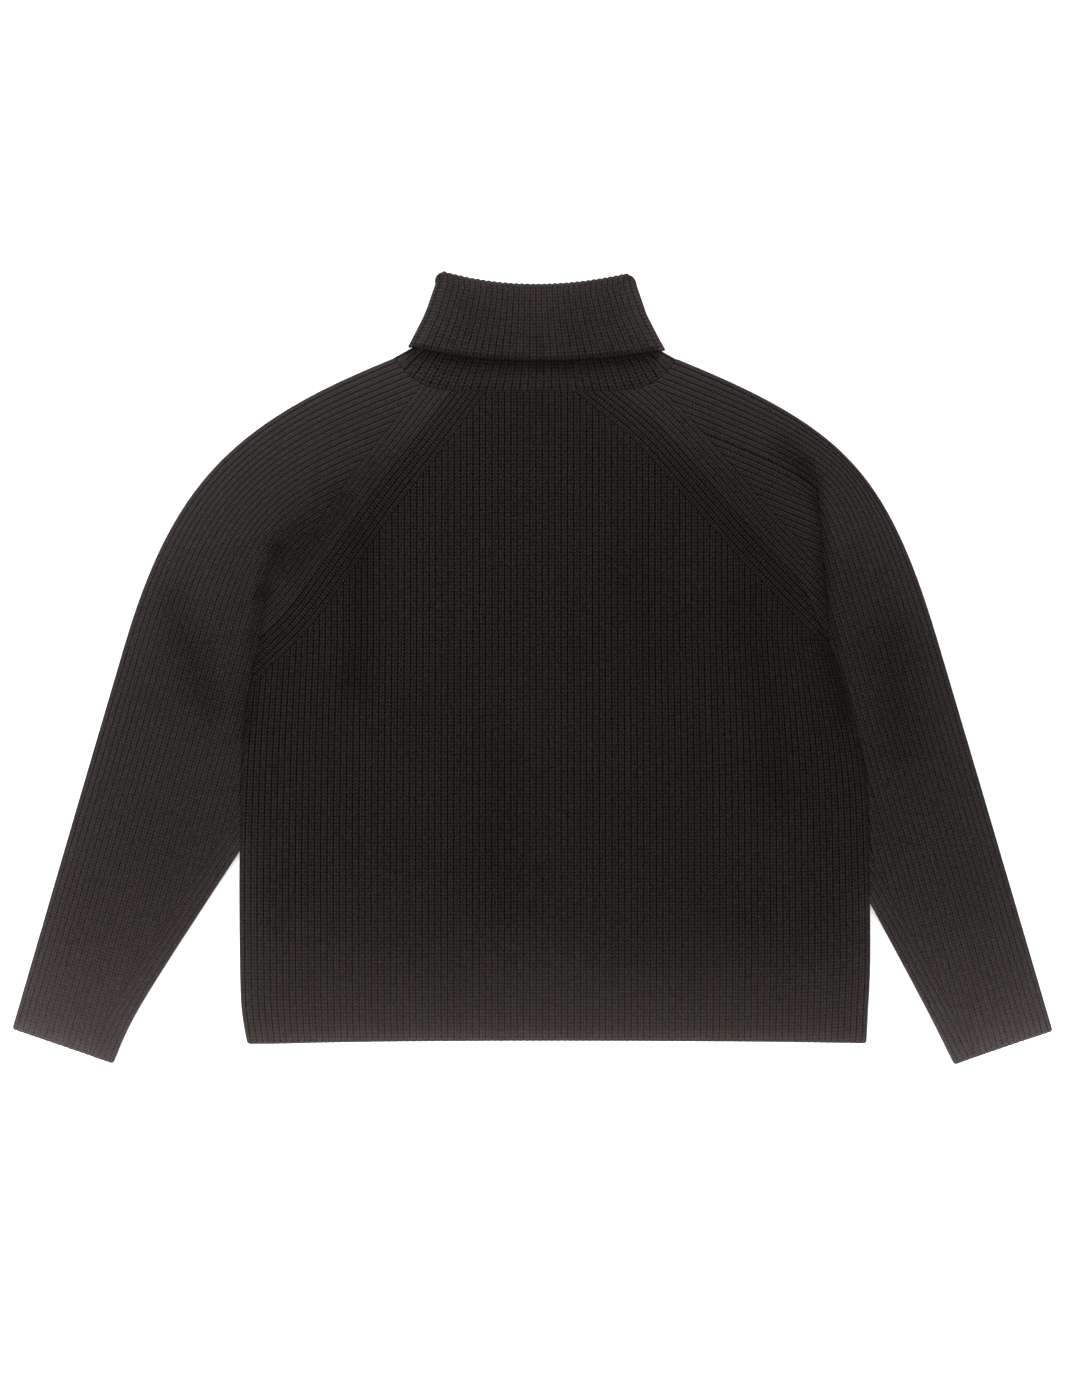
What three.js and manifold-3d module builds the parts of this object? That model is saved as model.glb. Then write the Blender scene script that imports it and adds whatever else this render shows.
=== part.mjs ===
// A turtleneck sweater in a chunky one-by-one rib, lying flat on its back with its sleeves down.
// Five knitted pieces: front, back, two raglan sleeves and a collar folded over once.
// Millimetres. X runs across the garment, Y from hem to collar, Z up from the surface it lies on.
// The origin is on that surface, under the middle of the garment. Sides are named as worn.

import * as THREE from "three";
import { mergeVertices } from "three/addons/utils/BufferGeometryUtils.js";
import Module from "manifold-3d";

const wasm = await Module();
wasm.setup();

// Knit
const wall = 2; // cloth at the bottom of a groove
const ribRise = 1; // a rib above its grooves
const underLayer = 2.2; // the layer that rests on the surface
const seamGap = 0.3; // between two pieces that are sewn together

// Ribs, counted across a piece
const bodyRibs = 100;
const bandRibs = 5; // on each side of a raglan seam, parallel to it
const bandPitch = 5.1;
const sleeveRibs = 29;
const sleevePitch = 5.4;
const borderRibs = 4; // along the underarm seam of a sleeve
const borderPitch = 5.2;
const collarRibs = 34;

// How the cloth lies
const seamLevel = 4.6; // top of the upper layer at its edges
const loft = 3.4; // how far it rises above that inside them
const loftReach = 30;
const neckShare = 0.25; // share of that rise left at the neck seam
const edgeDrop = 1.2;
const edgeReach = 2.6;
const foldCloth = 3.2; // cloth between a sleeve's fold and its hollow
const overrun = 8; // what is knitted beyond an edge before that edge is cut

// Plan of each side. A sleeve's ribs run straight from the neck, round the shoulder and straight down.
// bodyward is 1 where the body lies to the left of the raglan seam, followed from neck to underarm.
// raglanRib is the rib along that seam, which the last bit of it leaves where the cloth is tucked in.
const sides = {
  right: {
    bodyward: 1,
    neckTangent: [-142.5, 277],
    shoulder: [-320.5, 203],
    armTangent: [-379, 6.5],
    cuffOuter: [-478.5, -332],
    shoulderWeight: 1.38, // how sharply the outer rib turns the shoulder
    shoulderBend: 0, // how much more sharply deeper ribs turn the shoulder
    raglan: [[-72, 256], [-106, 211.5], [-147, 159], [-187.5, 102], [-222.5, 54.5], [-254, 23]],
    raglanRib: [[-72, 256], [-106, 211.5], [-147, 159], [-187.5, 102], [-222.5, 54.5], [-254, 23]],
    bodySide: [[-254, 23], [-264, -67], [-268.5, -168.5], [-268.5, -269.5], [-267, -315.5], [-262, -345]],
    bodyRibEdge: [[-264, 262], [-264, 23], [-267, -67], [-270, -168.5], [-270, -269.5], [-268.5, -315.5], [-263.5, -345]],
    underarmSeam: [[-269.2, -168], [-358, -306.5], [-385.5, -363.2]],
  },
  left: {
    bodyward: -1,
    neckTangent: [154.5, 274],
    shoulder: [318.5, 207],
    armTangent: [375.5, 14],
    cuffOuter: [478.5, -334],
    shoulderWeight: 1.65,
    shoulderBend: 0.045,
    raglan: [[76.5, 256], [116, 222.5], [164.5, 168.5], [204, 123.5], [243, 83], [273, 25]],
    raglanRib: [[76.5, 256], [116, 222.5], [164.5, 168.5], [204, 123.5], [243, 83], [283, 42]],
    bodySide: [[273, 25], [290.5, -30.5], [305.5, -99.5], [310, -196], [311, -269.5], [309, -315.5], [307.5, -345]],
    bodyRibEdge: [[300, 262], [301, 25], [304, -30.5], [308, -99.5], [311.5, -196], [312.5, -269.5], [310.5, -315.5], [309, -345]],
    underarmSeam: [[311.2, -216], [359.5, -306.5], [388, -363.2]],
  },
};
const bodyRows = [-345, -342, -315.5, -230, -130, -40, 40, 120, 190, 262];
const hemRise = 2; // the middle of the hem above its corners
const sleeveRows = [0, 0.6, 1, 1.15, 1.3, 1.43, 1.57, 1.7, 1.85, 2, 2.3, 2.6, 2.85, 2.97, 3];
const seamSteps = 8; // along a raglan or underarm seam
const shoulderRun = 192; // from the corner of a sleeve's two straights to where its outer rib leaves them
const shoulderDepth = 170; // depth inside the sleeve at which that run comes to nothing
const neckRun = 70;

// Troughs in the upper layer, where the sleeves bend down beside the body
const troughs = [
  { line: [[-238, 96], [-246, 72]], depth: 3, halfWidth: 13 },
  { line: [[-247, 66], [-254, 23]], depth: 1.5, halfWidth: 7 },
  { line: [[263, 160], [267.5, 98], [272, 30]], depth: 3, halfWidth: 9 },
  { line: [[-153, 117], [-161, 6]], depth: 0.9, halfWidth: 14 },
];

// Lines round the collar: the two ends of each, as worn, how far down its middle comes in front and
// behind, how flat that middle is, and its height above the surface, midway between front and back
const collarLines = {
  seam: { right: [-125.3, 283.9], left: [131.8, 281.9], front: 253.7, back: 276, flat: 7.5, z: 2.7 },
  base: { right: [-104, 295], left: [113, 292], front: 283, back: 282.5, flat: 2.5, z: 5.8 },
  waist: { right: [-91, 330], left: [98, 330], front: 320, back: 320, flat: 2.2, z: 5.8 },
  inside: { right: [-82.5, 360.3], left: [89.5, 358.5], front: 348.3, back: 348.3, flat: 2, z: 5.8 },
  fold: { right: [-82.5, 363.5], left: [89.5, 361.7], front: 351.5, back: 351.5, flat: 2, z: 5.8 },
  turned: { right: [-82, 353], left: [89, 352], front: 341, back: 341, flat: 2, z: 5.8 },
  middle: { right: [-91, 326], left: [98.5, 325], front: 314, back: 314, flat: 2, z: 5.8 },
  edge: { right: [-105.7, 295.5], left: [114.7, 292.5], front: 283.5, back: 283.5, flat: 2, z: 5.8 },
};
// Once round the folded cloth: the line, how far out from the inner face, and the rib there
const collarSection = [
  { line: "seam", out: 0, rib: 0 },
  { line: "base", out: 0, rib: 0 },
  { line: "waist", out: 0, rib: 0 },
  { line: "inside", out: 0.2, rib: 0 },
  { line: "fold", out: 1.6, rib: 0 },
  { line: "fold", out: 3.8, rib: 0.3 },
  { line: "turned", out: 5.3, rib: 0.8 },
  { line: "middle", out: 5.3, rib: 0.8 },
  { line: "edge", out: 5.3, rib: 0.8 },
  { line: "edge", out: 3.3, rib: 0 },
  { line: "inside", out: 3.3, rib: 0 },
  { line: "inside", out: 2.2, rib: 0 },
  { line: "base", out: 2.2, rib: 0.6 },
  { line: "seam", out: 2.2, rib: 0.6 },
];
const weld = 0.01; // points closer than this are one
const neckHalfGap = 0.5; // half the gap inside the neck
const collarTurnSteps = 4;
const collarBackSteps = 12;

const mix = THREE.MathUtils.lerp;
const point = ([x, y]) => new THREE.Vector2(x, y);
const smoothLine = (pairs, steps) => new THREE.SplineCurve(pairs.map(point)).getPoints(steps);

// Moves a line to its left, or to its right where the distance is negative
function offsetLine(line, distance) {
  return line.map((here, i) => {
    const along = line[Math.min(i + 1, line.length - 1)].clone().sub(line[Math.max(i - 1, 0)]).normalize();
    return new THREE.Vector2(here.x - along.y * distance, here.y + along.x * distance);
  });
}

// Lengthens a line in its own direction at both ends
function lengthen(line, before, after) {
  const reach = (from, to, length) => to.clone().add(to.clone().sub(from).setLength(length));
  return [reach(line[1], line[0], before), ...line, reach(line.at(-2), line.at(-1), after)];
}

function pointAt(line, share) {
  const place = share * (line.length - 1);
  const i = Math.min(Math.floor(place), line.length - 2);
  return line[i].clone().lerp(line[i + 1], place - i);
}

function distanceTo(line, x, y) {
  let best = Infinity;
  for (let i = 1; i < line.length; i++) {
    const [a, b] = [line[i - 1], line[i]];
    const share = ((x - a.x) * (b.x - a.x) + (y - a.y) * (b.y - a.y)) / a.distanceToSquared(b);
    const held = THREE.MathUtils.clamp(share, 0, 1);
    best = Math.min(best, Math.hypot(x - mix(a.x, b.x, held), y - mix(a.y, b.y, held)));
  }
  return best;
}

// x at height y on a line that is listed from top to bottom
function xAt(line, y) {
  const i = Math.max(1, line.findIndex((p) => p.y <= y));
  return mix(line[i - 1].x, line[i].x, (line[i - 1].y - y) / (line[i - 1].y - line[i].y));
}

// A point of the body, with across counted in ribs from its right side and row its height at the sides
function bodyPoint(across, row) {
  const share = across / bodyRibs;
  const nearHem = Math.max(0, 1 - (row - bodyRows[0]) / 100);
  const x = mix(xAt(sides.right.ribEdge, row), xAt(sides.left.ribEdge, row), share);
  return new THREE.Vector2(x, row + hemRise * nearHem * (1 - (2 * share - 1) ** 2));
}

// A point of the sleeve at a depth inside its shoulder fold. v runs from 0 at the neck over 1 and 2,
// where the round of the shoulder starts and ends, to 3 at the cuff.
function sleevePoint(side, depth, v) {
  const toNeck = point(side.neckTangent).sub(point(side.shoulder)).normalize();
  const toCuff = point(side.cuffOuter).sub(point(side.armTangent)).normalize();
  const inward = toNeck.clone().add(toCuff).normalize();
  const bend = point(side.shoulder).addScaledVector(inward, depth / Math.abs(inward.cross(toNeck)));
  const run = shoulderRun * (1 - depth / shoulderDepth);
  const weight = side.shoulderWeight + side.shoulderBend * depth;
  const first = bend.clone().addScaledVector(toNeck, run);
  const last = bend.clone().addScaledVector(toCuff, run);
  if (v < 1) return first.addScaledVector(toNeck, neckRun * (1 - v));
  if (v <= 2) {
    const weights = [(2 - v) ** 2, 2 * weight * (v - 1) * (2 - v), (v - 1) ** 2];
    const total = weights[0] + weights[1] + weights[2];
    return first.multiplyScalar(weights[0] / total)
      .addScaledVector(bend, weights[1] / total)
      .addScaledVector(last, weights[2] / total);
  }
  const cuffInner = point(side.underarmSeam.at(-1));
  const cuff = cuffInner.clone().sub(point(side.cuffOuter));
  const length = cuffInner.sub(last).cross(cuff) / toCuff.cross(cuff);
  return last.addScaledVector(toCuff, (length + overrun) * (v - 2));
}

function collarPoint(line, share, half) {
  const sag = 1 - Math.abs(2 * share - 1) ** line.flat;
  return new THREE.Vector2(
    mix(line.right[0], line.left[0], share),
    mix(mix(line.right[1], line.left[1], share), line[half], sag),
  );
}

function neckSeam(half) {
  const shares = Array.from({ length: 2 * collarRibs + 1 }, (_, i) => i / (2 * collarRibs));
  return shares.map((share) => collarPoint(collarLines.seam, share, half));
}

for (const side of Object.values(sides)) {
  side.raglanLine = smoothLine(side.raglan, seamSteps);
  side.seamLine = smoothLine(side.underarmSeam, seamSteps);
  side.bodyLine = smoothLine(side.bodySide, 16);
  side.ribEdge = side.bodyRibEdge.map(point);
}
const frontNeck = neckSeam("front");
const creases = troughs.map((trough) => ({ ...trough, line: trough.line.map(point) }));
const edges = [
  [point(sides.right.bodySide.at(-1)), point(sides.left.bodySide.at(-1))],
  ...Object.values(sides).flatMap((side) => [
    [0.8, 1, 1.15, 1.3, 1.43, 1.57, 1.7, 1.85, 2, 3].map((v) => sleevePoint(side, 0, v)),
    [point(side.cuffOuter), point(side.underarmSeam.at(-1))],
    side.seamLine,
    side.bodyLine,
  ]),
];
const edgeDistance = (x, y) => Math.min(...edges.map((edge) => distanceTo(edge, x, y)));

// Top of the upper layer, at the bottom of its grooves, before its edges are rounded
function layLevel(x, y) {
  const neck = 1 - (1 - neckShare) * Math.exp(-distanceTo(frontNeck, x, y) / loftReach);
  let rise = loft * (1 - Math.exp(-edgeDistance(x, y) / loftReach)) * neck;
  for (const { line, depth, halfWidth } of creases)
    rise -= depth * Math.exp(-((distanceTo(line, x, y) / halfWidth) ** 2));
  return seamLevel + Math.max(rise, 0);
}

const grooveLevel = (x, y) => layLevel(x, y) - edgeDrop * Math.exp(-((edgeDistance(x, y) / edgeReach) ** 2));
const innerLevel = (x, y) => layLevel(x, y) - wall;

function toSolid(positions, faces) {
  const make = (triangles) => new wasm.Manifold(new wasm.Mesh({
    numProp: 3,
    vertProperties: new Float32Array(positions),
    triVerts: new Uint32Array(triangles.flat()),
  }));
  const solid = make(faces);
  return solid.volume() > 0 ? solid : make(faces.map(([a, b, c]) => [a, c, b]));
}

// A closed sheet of cloth over a plain underside. place(across, row) is its plan, with across counted in
// ribs and whole at the grooves. The underside has one column for every few ribs.
function sheet({ ribs, rows, place, top, under, rise = ribRise, topStep = 0.5, underStep = 4, inset = 0 }) {
  const columns = Math.round(ribs / topStep);
  const underColumns = Math.ceil(ribs / underStep);
  const positions = [];
  const faces = [];
  const topIndex = (r, c) => r * (columns + 1) + c;
  const underIndex = (r, c) => rows.length * (columns + 1) + r * (underColumns + 1) + c;
  const quad = (a, b, c, d) => faces.push([a, b, c], [a, c, d]);
  for (const row of rows)
    for (let c = 0; c <= columns; c++) {
      const p = place(mix(inset, ribs, c / columns), row);
      positions.push(p.x, p.y, top(p.x, p.y) + (c % 2 ? rise : 0));
    }
  for (const row of rows)
    for (let c = 0; c <= underColumns; c++) {
      const p = place(mix(inset, ribs, c / underColumns), row);
      positions.push(p.x, p.y, under(p.x, p.y));
    }
  for (let r = 1; r < rows.length; r++) {
    for (let c = 0; c < columns; c++)
      quad(topIndex(r, c), topIndex(r - 1, c), topIndex(r - 1, c + 1), topIndex(r, c + 1));
    for (let c = 0; c < underColumns; c++)
      quad(underIndex(r, c), underIndex(r, c + 1), underIndex(r - 1, c + 1), underIndex(r - 1, c));
    quad(topIndex(r, 0), underIndex(r, 0), underIndex(r - 1, 0), topIndex(r - 1, 0));
    quad(topIndex(r - 1, columns), underIndex(r - 1, underColumns), underIndex(r, underColumns), topIndex(r, columns));
  }
  for (const [r, turned] of [[0, true], [rows.length - 1, false]]) {
    const add = (a, b, c) => faces.push(turned ? [a, c, b] : [a, b, c]);
    const below = (c) => Math.floor((c / columns) * underColumns);
    for (let c = 0; c < columns; c++) {
      add(topIndex(r, c), topIndex(r, c + 1), underIndex(r, below(c)));
      if (below(c + 1) > below(c)) add(topIndex(r, c + 1), underIndex(r, below(c + 1)), underIndex(r, below(c)));
    }
  }
  return toSolid(positions, faces);
}

// All that lies over an outline
function prism(outline, low = -5, high = 30) {
  const geometry = new THREE.ExtrudeGeometry(new THREE.Shape(outline), { depth: high - low, bevelEnabled: false });
  geometry.deleteAttribute("normal");
  geometry.deleteAttribute("uv");
  geometry.translate(0, 0, low);
  const { attributes, index } = mergeVertices(geometry, 1e-3);
  const faces = [];
  for (let i = 0; i < index.count; i += 3) faces.push([index.getX(i), index.getX(i + 1), index.getX(i + 2)]);
  return toSolid(attributes.position.array, faces);
}

function belowNeck(half, low, high) {
  const line = offsetLine(neckSeam(half), -seamGap);
  const corners = [[600, line.at(-1).y], [600, -500], [-600, -500], [-600, line[0].y]];
  return prism([...line, ...corners.map(point)], low, high);
}

function bodyArea() {
  const flank = (side) => [
    ...lengthen(offsetLine(side.raglanLine, (side.bodyward * seamGap) / 2), 60, 1).slice(0, -2),
    ...side.bodyLine,
    point([side.bodyLine.at(-1).x, -360]),
  ];
  return prism([...flank(sides.right), ...flank(sides.left).reverse()]);
}

// Between the lines that bound a sleeve, other than its fold and the neck. Taken inward at the underarm
// and outward at the open ends, it marks out the sleeve's hollow.
function sleeveArea(side, inward = 0, outward = 0) {
  const out = side.bodyward;
  const raglan = lengthen(offsetLine(side.raglanLine, out * (outward - seamGap / 2)), 60, 1).slice(0, -2);
  const flank = offsetLine(side.bodyLine, -out * (seamGap + inward)).filter((p) => p.y > side.seamLine[0].y);
  const seam = offsetLine(side.seamLine, -out * inward).filter((p) => p.y < flank.at(-1).y);
  const cuffInner = point(side.underarmSeam.at(-1));
  const cuffOuter = point(side.cuffOuter);
  const beyondCuff = [seam.at(-1), lengthen([cuffInner, cuffOuter], 1, 20).at(-1)];
  const open = beyondCuff.map((p) => new THREE.Vector2(p.x, p.y - outward));
  const far = -out * 600;
  return prism([...raglan, ...flank, ...seam.slice(0, -1), ...open, point([far, open[1].y]), point([far, 330])]);
}

// Knits a strip of ribs along a line into the cloth, in place of what is there
function knitStrip(cloth, { line, sideways, first, last, pitch, top, under }) {
  const ribs = last - first;
  const lines = Array.from({ length: 2 * ribs + 1 }, (_, i) => offsetLine(line, sideways * pitch * (first + i / 2)));
  const rows = line.map((_, i) => i / (line.length - 1));
  const place = (across, row) => pointAt(lines[Math.round(2 * across)], row);
  const shorter = [pointAt(line, 0.01), ...line.slice(1, -1), pointAt(line, 0.99)];
  const start = offsetLine(shorter, sideways * (first * pitch + 0.4));
  const end = offsetLine(shorter, sideways * (last * pitch - 0.4));
  return cloth.subtract(prism([...start, ...end.reverse()])).add(sheet({ ribs, rows, place, top, under, underStep: ribs }));
}

function knitRaglan(cloth, side, sideways, beyond, under) {
  const line = lengthen(smoothLine(side.raglanRib, seamSteps), 40, beyond);
  return knitStrip(cloth, { line, sideways, first: -3, last: bandRibs, pitch: bandPitch, top: grooveLevel, under });
}

function makeFront() {
  let cloth = sheet({ ribs: bodyRibs, rows: bodyRows, place: bodyPoint, top: grooveLevel, under: innerLevel });
  for (const side of Object.values(sides)) cloth = knitRaglan(cloth, side, side.bodyward, 60, innerLevel);
  return cloth.intersect(bodyArea()).intersect(belowNeck("front"));
}

function makeBack() {
  const hem = Array.from({ length: 11 }, (_, i) => bodyPoint(i * 10, bodyRows[0]));
  const cloth = prism([...hem, point([600, 400]), point([-600, 400])], 0, underLayer);
  return cloth.intersect(bodyArea()).intersect(belowNeck("back"));
}

function makeSleeve(side) {
  const floor = () => 0;
  const place = (across, row) => sleevePoint(side, across * sleevePitch, row);
  let cloth = sheet({ ribs: sleeveRibs, rows: sleeveRows, place, top: grooveLevel, under: floor });
  cloth = knitRaglan(cloth, side, -side.bodyward, 6, floor);
  const border = { line: lengthen(side.seamLine, 60, 20), sideways: -side.bodyward, first: -1, last: borderRibs };
  cloth = knitStrip(cloth, { ...border, pitch: borderPitch, top: grooveLevel, under: floor });
  cloth = cloth.intersect(sleeveArea(side));
  cloth = cloth.intersect(belowNeck("front", 2.3, 30).add(belowNeck("back", -5, 2.3)));
  const hollow = sheet({
    ribs: sleeveRibs, rows: sleeveRows, place, top: innerLevel, under: () => underLayer,
    rise: 0, topStep: 2, inset: foldCloth / sleevePitch,
  });
  return cloth.subtract(hollow.intersect(sleeveArea(side, foldCloth, 5)));
}

function makeCollar() {
  const ring = [];
  for (let i = 0; i <= 2 * collarRibs; i++) ring.push({ share: i / (2 * collarRibs), turn: 0, crest: i % 2 });
  for (let i = 1; i <= collarTurnSteps; i++) ring.push({ share: 1, turn: i / collarTurnSteps, crest: 0 });
  for (let i = 1; i < collarBackSteps; i++) ring.push({ share: 1 - i / collarBackSteps, turn: 1, crest: 0 });
  for (let i = collarTurnSteps; i > 0; i--) ring.push({ share: 0, turn: i / collarTurnSteps, crest: 0 });
  const positions = [];
  for (const { share, turn, crest } of ring)
    for (const { line: name, out, rib } of collarSection) {
      const line = collarLines[name];
      const p = collarPoint(line, share, turn > 0.5 ? "back" : "front");
      const reach = neckHalfGap + out + crest * rib;
      const outward = (share < 0.5 ? -1 : 1) * Math.sin(turn * Math.PI);
      positions.push(p.x + outward * reach, p.y, line.z + reach * Math.cos(turn * Math.PI));
    }
  const faces = [];
  const count = collarSection.length;
  ring.forEach((_, i) => {
    const next = (i + 1) % ring.length;
    for (let k = 0; k < count; k++) {
      const above = (k + 1) % count;
      faces.push([i * count + k, next * count + k, next * count + above]);
      faces.push([i * count + k, next * count + above, i * count + above]);
    }
  });
  return toSolid(positions, faces);
}

function toMesh(name, solid) {
  const made = solid.getMesh();
  let geometry = new THREE.BufferGeometry();
  geometry.setAttribute("position", new THREE.Float32BufferAttribute(made.vertProperties, 3));
  geometry.setIndex([...made.triVerts]);
  geometry = mergeVertices(geometry, weld);
  const corners = [...geometry.index.array];
  const kept = corners.filter((_, i) => new Set(corners.slice(i - (i % 3), i - (i % 3) + 3)).size === 3);
  geometry.setIndex(kept);
  geometry.computeVertexNormals();
  const mesh = new THREE.Mesh(geometry, new THREE.MeshStandardMaterial({ color: 0x2b2623, roughness: 0.95 }));
  mesh.name = name;
  return mesh;
}

const sweater = new THREE.Group();
sweater.add(
  toMesh("front", makeFront()),
  toMesh("back", makeBack()),
  toMesh("sleeve_right", makeSleeve(sides.right)),
  toMesh("sleeve_left", makeSleeve(sides.left)),
  toMesh("collar", makeCollar()),
);

export default sweater;
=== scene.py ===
# Ribbed turtleneck sweater laid flat on a white table: cloth, light and camera around the fixed frame.
# Lengths are worked out in millimetres in the frame's own axes and turned to metres in clothGrid.
import bpy
import math
import numpy as np
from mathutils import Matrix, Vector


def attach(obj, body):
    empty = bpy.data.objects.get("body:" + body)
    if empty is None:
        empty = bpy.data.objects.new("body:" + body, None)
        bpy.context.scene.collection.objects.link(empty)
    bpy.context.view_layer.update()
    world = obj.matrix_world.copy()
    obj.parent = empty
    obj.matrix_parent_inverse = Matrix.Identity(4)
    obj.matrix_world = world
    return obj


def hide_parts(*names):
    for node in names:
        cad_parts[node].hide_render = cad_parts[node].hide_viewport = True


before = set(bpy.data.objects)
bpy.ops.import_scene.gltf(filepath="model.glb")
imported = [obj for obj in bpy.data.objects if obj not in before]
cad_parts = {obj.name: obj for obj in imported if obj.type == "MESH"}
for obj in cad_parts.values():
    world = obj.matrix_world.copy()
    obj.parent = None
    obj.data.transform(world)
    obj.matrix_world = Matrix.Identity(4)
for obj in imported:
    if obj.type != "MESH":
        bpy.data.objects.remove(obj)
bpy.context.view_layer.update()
print("frame loaded:", sorted(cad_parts))

lay = {
    "seamLevel": 4.6,  # top of the upper layer at its edges
    "loft": 3.6,  # how far it rises inside them
    "loftReach": 30,
    "neckShare": 0.25,  # share of that rise left at the neck seam
    "deepest": 0.9,  # how far below its edges a crease may reach
    "foldRadius": 2.3,
    "clothThickness": 1.7,
    "tableGap": 0.02,  # nothing comes lower than this
}

# Plan of each side as it lies, sides named as worn. bodyward is 1 where the body is left of the raglan seam.
sides = {
    "right": {
        "bodyward": 1,
        "neckTangent": (-142.5, 277),
        "shoulder": (-320.5, 203),
        "armTangent": (-379, 6.5),
        "cuffOuter": (-478.5, -332),
        "shoulderWeight": 1.38,  # how sharply the outer rib turns the shoulder
        "shoulderBend": 0,  # how much more sharply deeper ribs turn it
        "raglan": [(-72, 256), (-106, 211.5), (-147, 159), (-187.5, 102), (-222.5, 54.5), (-254, 23)],
        "raglanRib": [(-72, 256), (-106, 211.5), (-147, 159), (-187.5, 102), (-222.5, 54.5), (-254, 23)],
        "crease": [(-231, 100), (-236.5, 90), (-243, 80), (-254, 23)],
        "bodySide": [
            (-254, 23), (-264, -67), (-268.5, -168.5), (-268.5, -269.5), (-267, -315.5), (-262, -345),
        ],
        "underarmSeam": [(-269.2, -168), (-358, -306.5), (-385.5, -363.2)],
    },
    "left": {
        "bodyward": -1,
        "neckTangent": (154.5, 274),
        "shoulder": (318.5, 207),
        "armTangent": (375.5, 14),
        "cuffOuter": (478.5, -334),
        "shoulderWeight": 1.65,
        "shoulderBend": 0.045,
        "raglan": [(76.5, 256), (116, 222.5), (164.5, 168.5), (204, 123.5), (243, 83), (273, 25)],
        "raglanRib": [(76.5, 256), (116, 222.5), (164.5, 168.5), (204, 123.5), (243, 83), (283, 42)],
        "crease": [(262, 158), (266, 120), (268, 90), (271, 60), (273, 25)],
        "bodySide": [
            (273, 25), (290.5, -30.5), (305.5, -99.5), (310, -196), (311, -269.5), (309, -315.5),
            (307.5, -345),
        ],
        "underarmSeam": [(311.2, -216), (359.5, -306.5), (388, -363.2)],
    },
}

# The round of a sleeve's shoulder, and how far a rib's line runs on past what cuts it
bend = {"run": 192, "depth": 170, "pastNeck": 110, "pastCuff": 12, "pastCrease": 220, "foldFrom": 95}

# Dents and creases in the upper layer: line, depth, half width
creases = [
    ([(-234, 108), (-240, 92), (-247, 70)], 4.2, 9),
    ([(-247, 68), (-256, 10), (-264, -60)], 2.6, 8),
    ([(-214, 128), (-228, 112)], 1.4, 14),
    ([(250, 186), (261, 166), (266, 130), (268, 90), (273, 30)], 4.6, 8),
    ([(274, 20), (288, -45)], 2.2, 9),
    ([(233, 200), (250, 178)], 1.6, 15),
    ([(-153, 117), (-158, 60), (-161, -10)], 2.1, 17),
    ([(-176, 150), (-196, 122), (-219, 90)], 1.3, 15),
    ([(196, 60), (214, -20), (226, -110)], 1.1, 22),
    ([(-330, 60), (-300, -30)], 1.3, 18),
    ([(330, 30), (338, -70)], 1.2, 18),
    ([(-36, -60), (-20, -210)], 0.8, 26),
    ([(96, 120), (110, 10)], 0.7, 24),
]

# Slow swells of the cloth: wave length, direction in degrees, phase, height
swells = [(230, 20, 0.4, 0.5), (150, 100, 1.9, 0.4), (96, 62, 3.1, 0.25), (70, 140, 5.0, 0.18)]


# Lines in plan are arrays of x, y
def smoothLine(points, steps):
    points = np.array(points, float)
    last = len(points) - 1
    made = []
    for k in range(steps + 1):
        place = last * k / steps
        i = min(int(place), last)
        w = place - i
        p0, p1 = points[max(i - 1, 0)], points[i]
        p2, p3 = points[min(i + 1, last)], points[min(i + 2, last)]
        a, b = (p2 - p0) / 2, (p3 - p1) / 2
        made.append((2 * p1 - 2 * p2 + a + b) * w**3 + (-3 * p1 + 3 * p2 - 2 * a - b) * w**2 + a * w + p1)
    return np.array(made)


def offsetLine(line, distance):  # to its left where the distance is positive
    along = np.empty_like(line)
    along[1:-1] = line[2:] - line[:-2]
    along[0], along[-1] = line[1] - line[0], line[-1] - line[-2]
    along /= np.linalg.norm(along, axis=1)[:, None]
    return line + distance * np.stack([-along[:, 1], along[:, 0]], 1)


def lengthen(line, before, after):
    start = (line[0] - line[1]) / np.linalg.norm(line[0] - line[1])
    end = (line[-1] - line[-2]) / np.linalg.norm(line[-1] - line[-2])
    return np.vstack([line[0] + start * before, line, line[-1] + end * after])


def arcLengths(line):
    return np.concatenate([[0], np.cumsum(np.linalg.norm(np.diff(line, axis=0), axis=1))])


def pointsAt(line, lengths):
    arcs = arcLengths(line)
    return np.stack([np.interp(lengths, arcs, line[:, k]) for k in (0, 1)], -1)


def crossings(line, border):  # lengths along line at which it crosses the border
    a, b = line[:-1, None], line[1:, None]
    c, d = border[None, :-1], border[None, 1:]
    r, s, q = b - a, d - c, c - a
    flat = r[..., 0] * s[..., 1] - r[..., 1] * s[..., 0]
    flat = np.where(np.abs(flat) < 1e-12, 1e-12, flat)
    t = (q[..., 0] * s[..., 1] - q[..., 1] * s[..., 0]) / flat
    u = (q[..., 0] * r[..., 1] - q[..., 1] * r[..., 0]) / flat
    i, j = np.nonzero((t >= 0) & (t < 1) & (u >= 0) & (u <= 1))
    arcs = arcLengths(line)
    return np.sort(arcs[i] + t[i, j] * (arcs[i + 1] - arcs[i]))


def distanceTo(line, x, y):
    best = np.full(x.shape, 1e9)
    for a, b in zip(line[:-1], line[1:]):
        run = b - a
        share = np.clip(((x - a[0]) * run[0] + (y - a[1]) * run[1]) / max(run @ run, 1e-9), 0, 1)
        best = np.minimum(best, np.hypot(x - a[0] - share * run[0], y - a[1] - share * run[1]))
    return best


def rounded(e, radius):  # drop of an edge that is rounded over, e inside it
    return radius * (1 - np.sqrt(np.clip(1 - (1 - np.clip(e / radius, 0, 1)) ** 2, 0, 1)))


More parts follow.
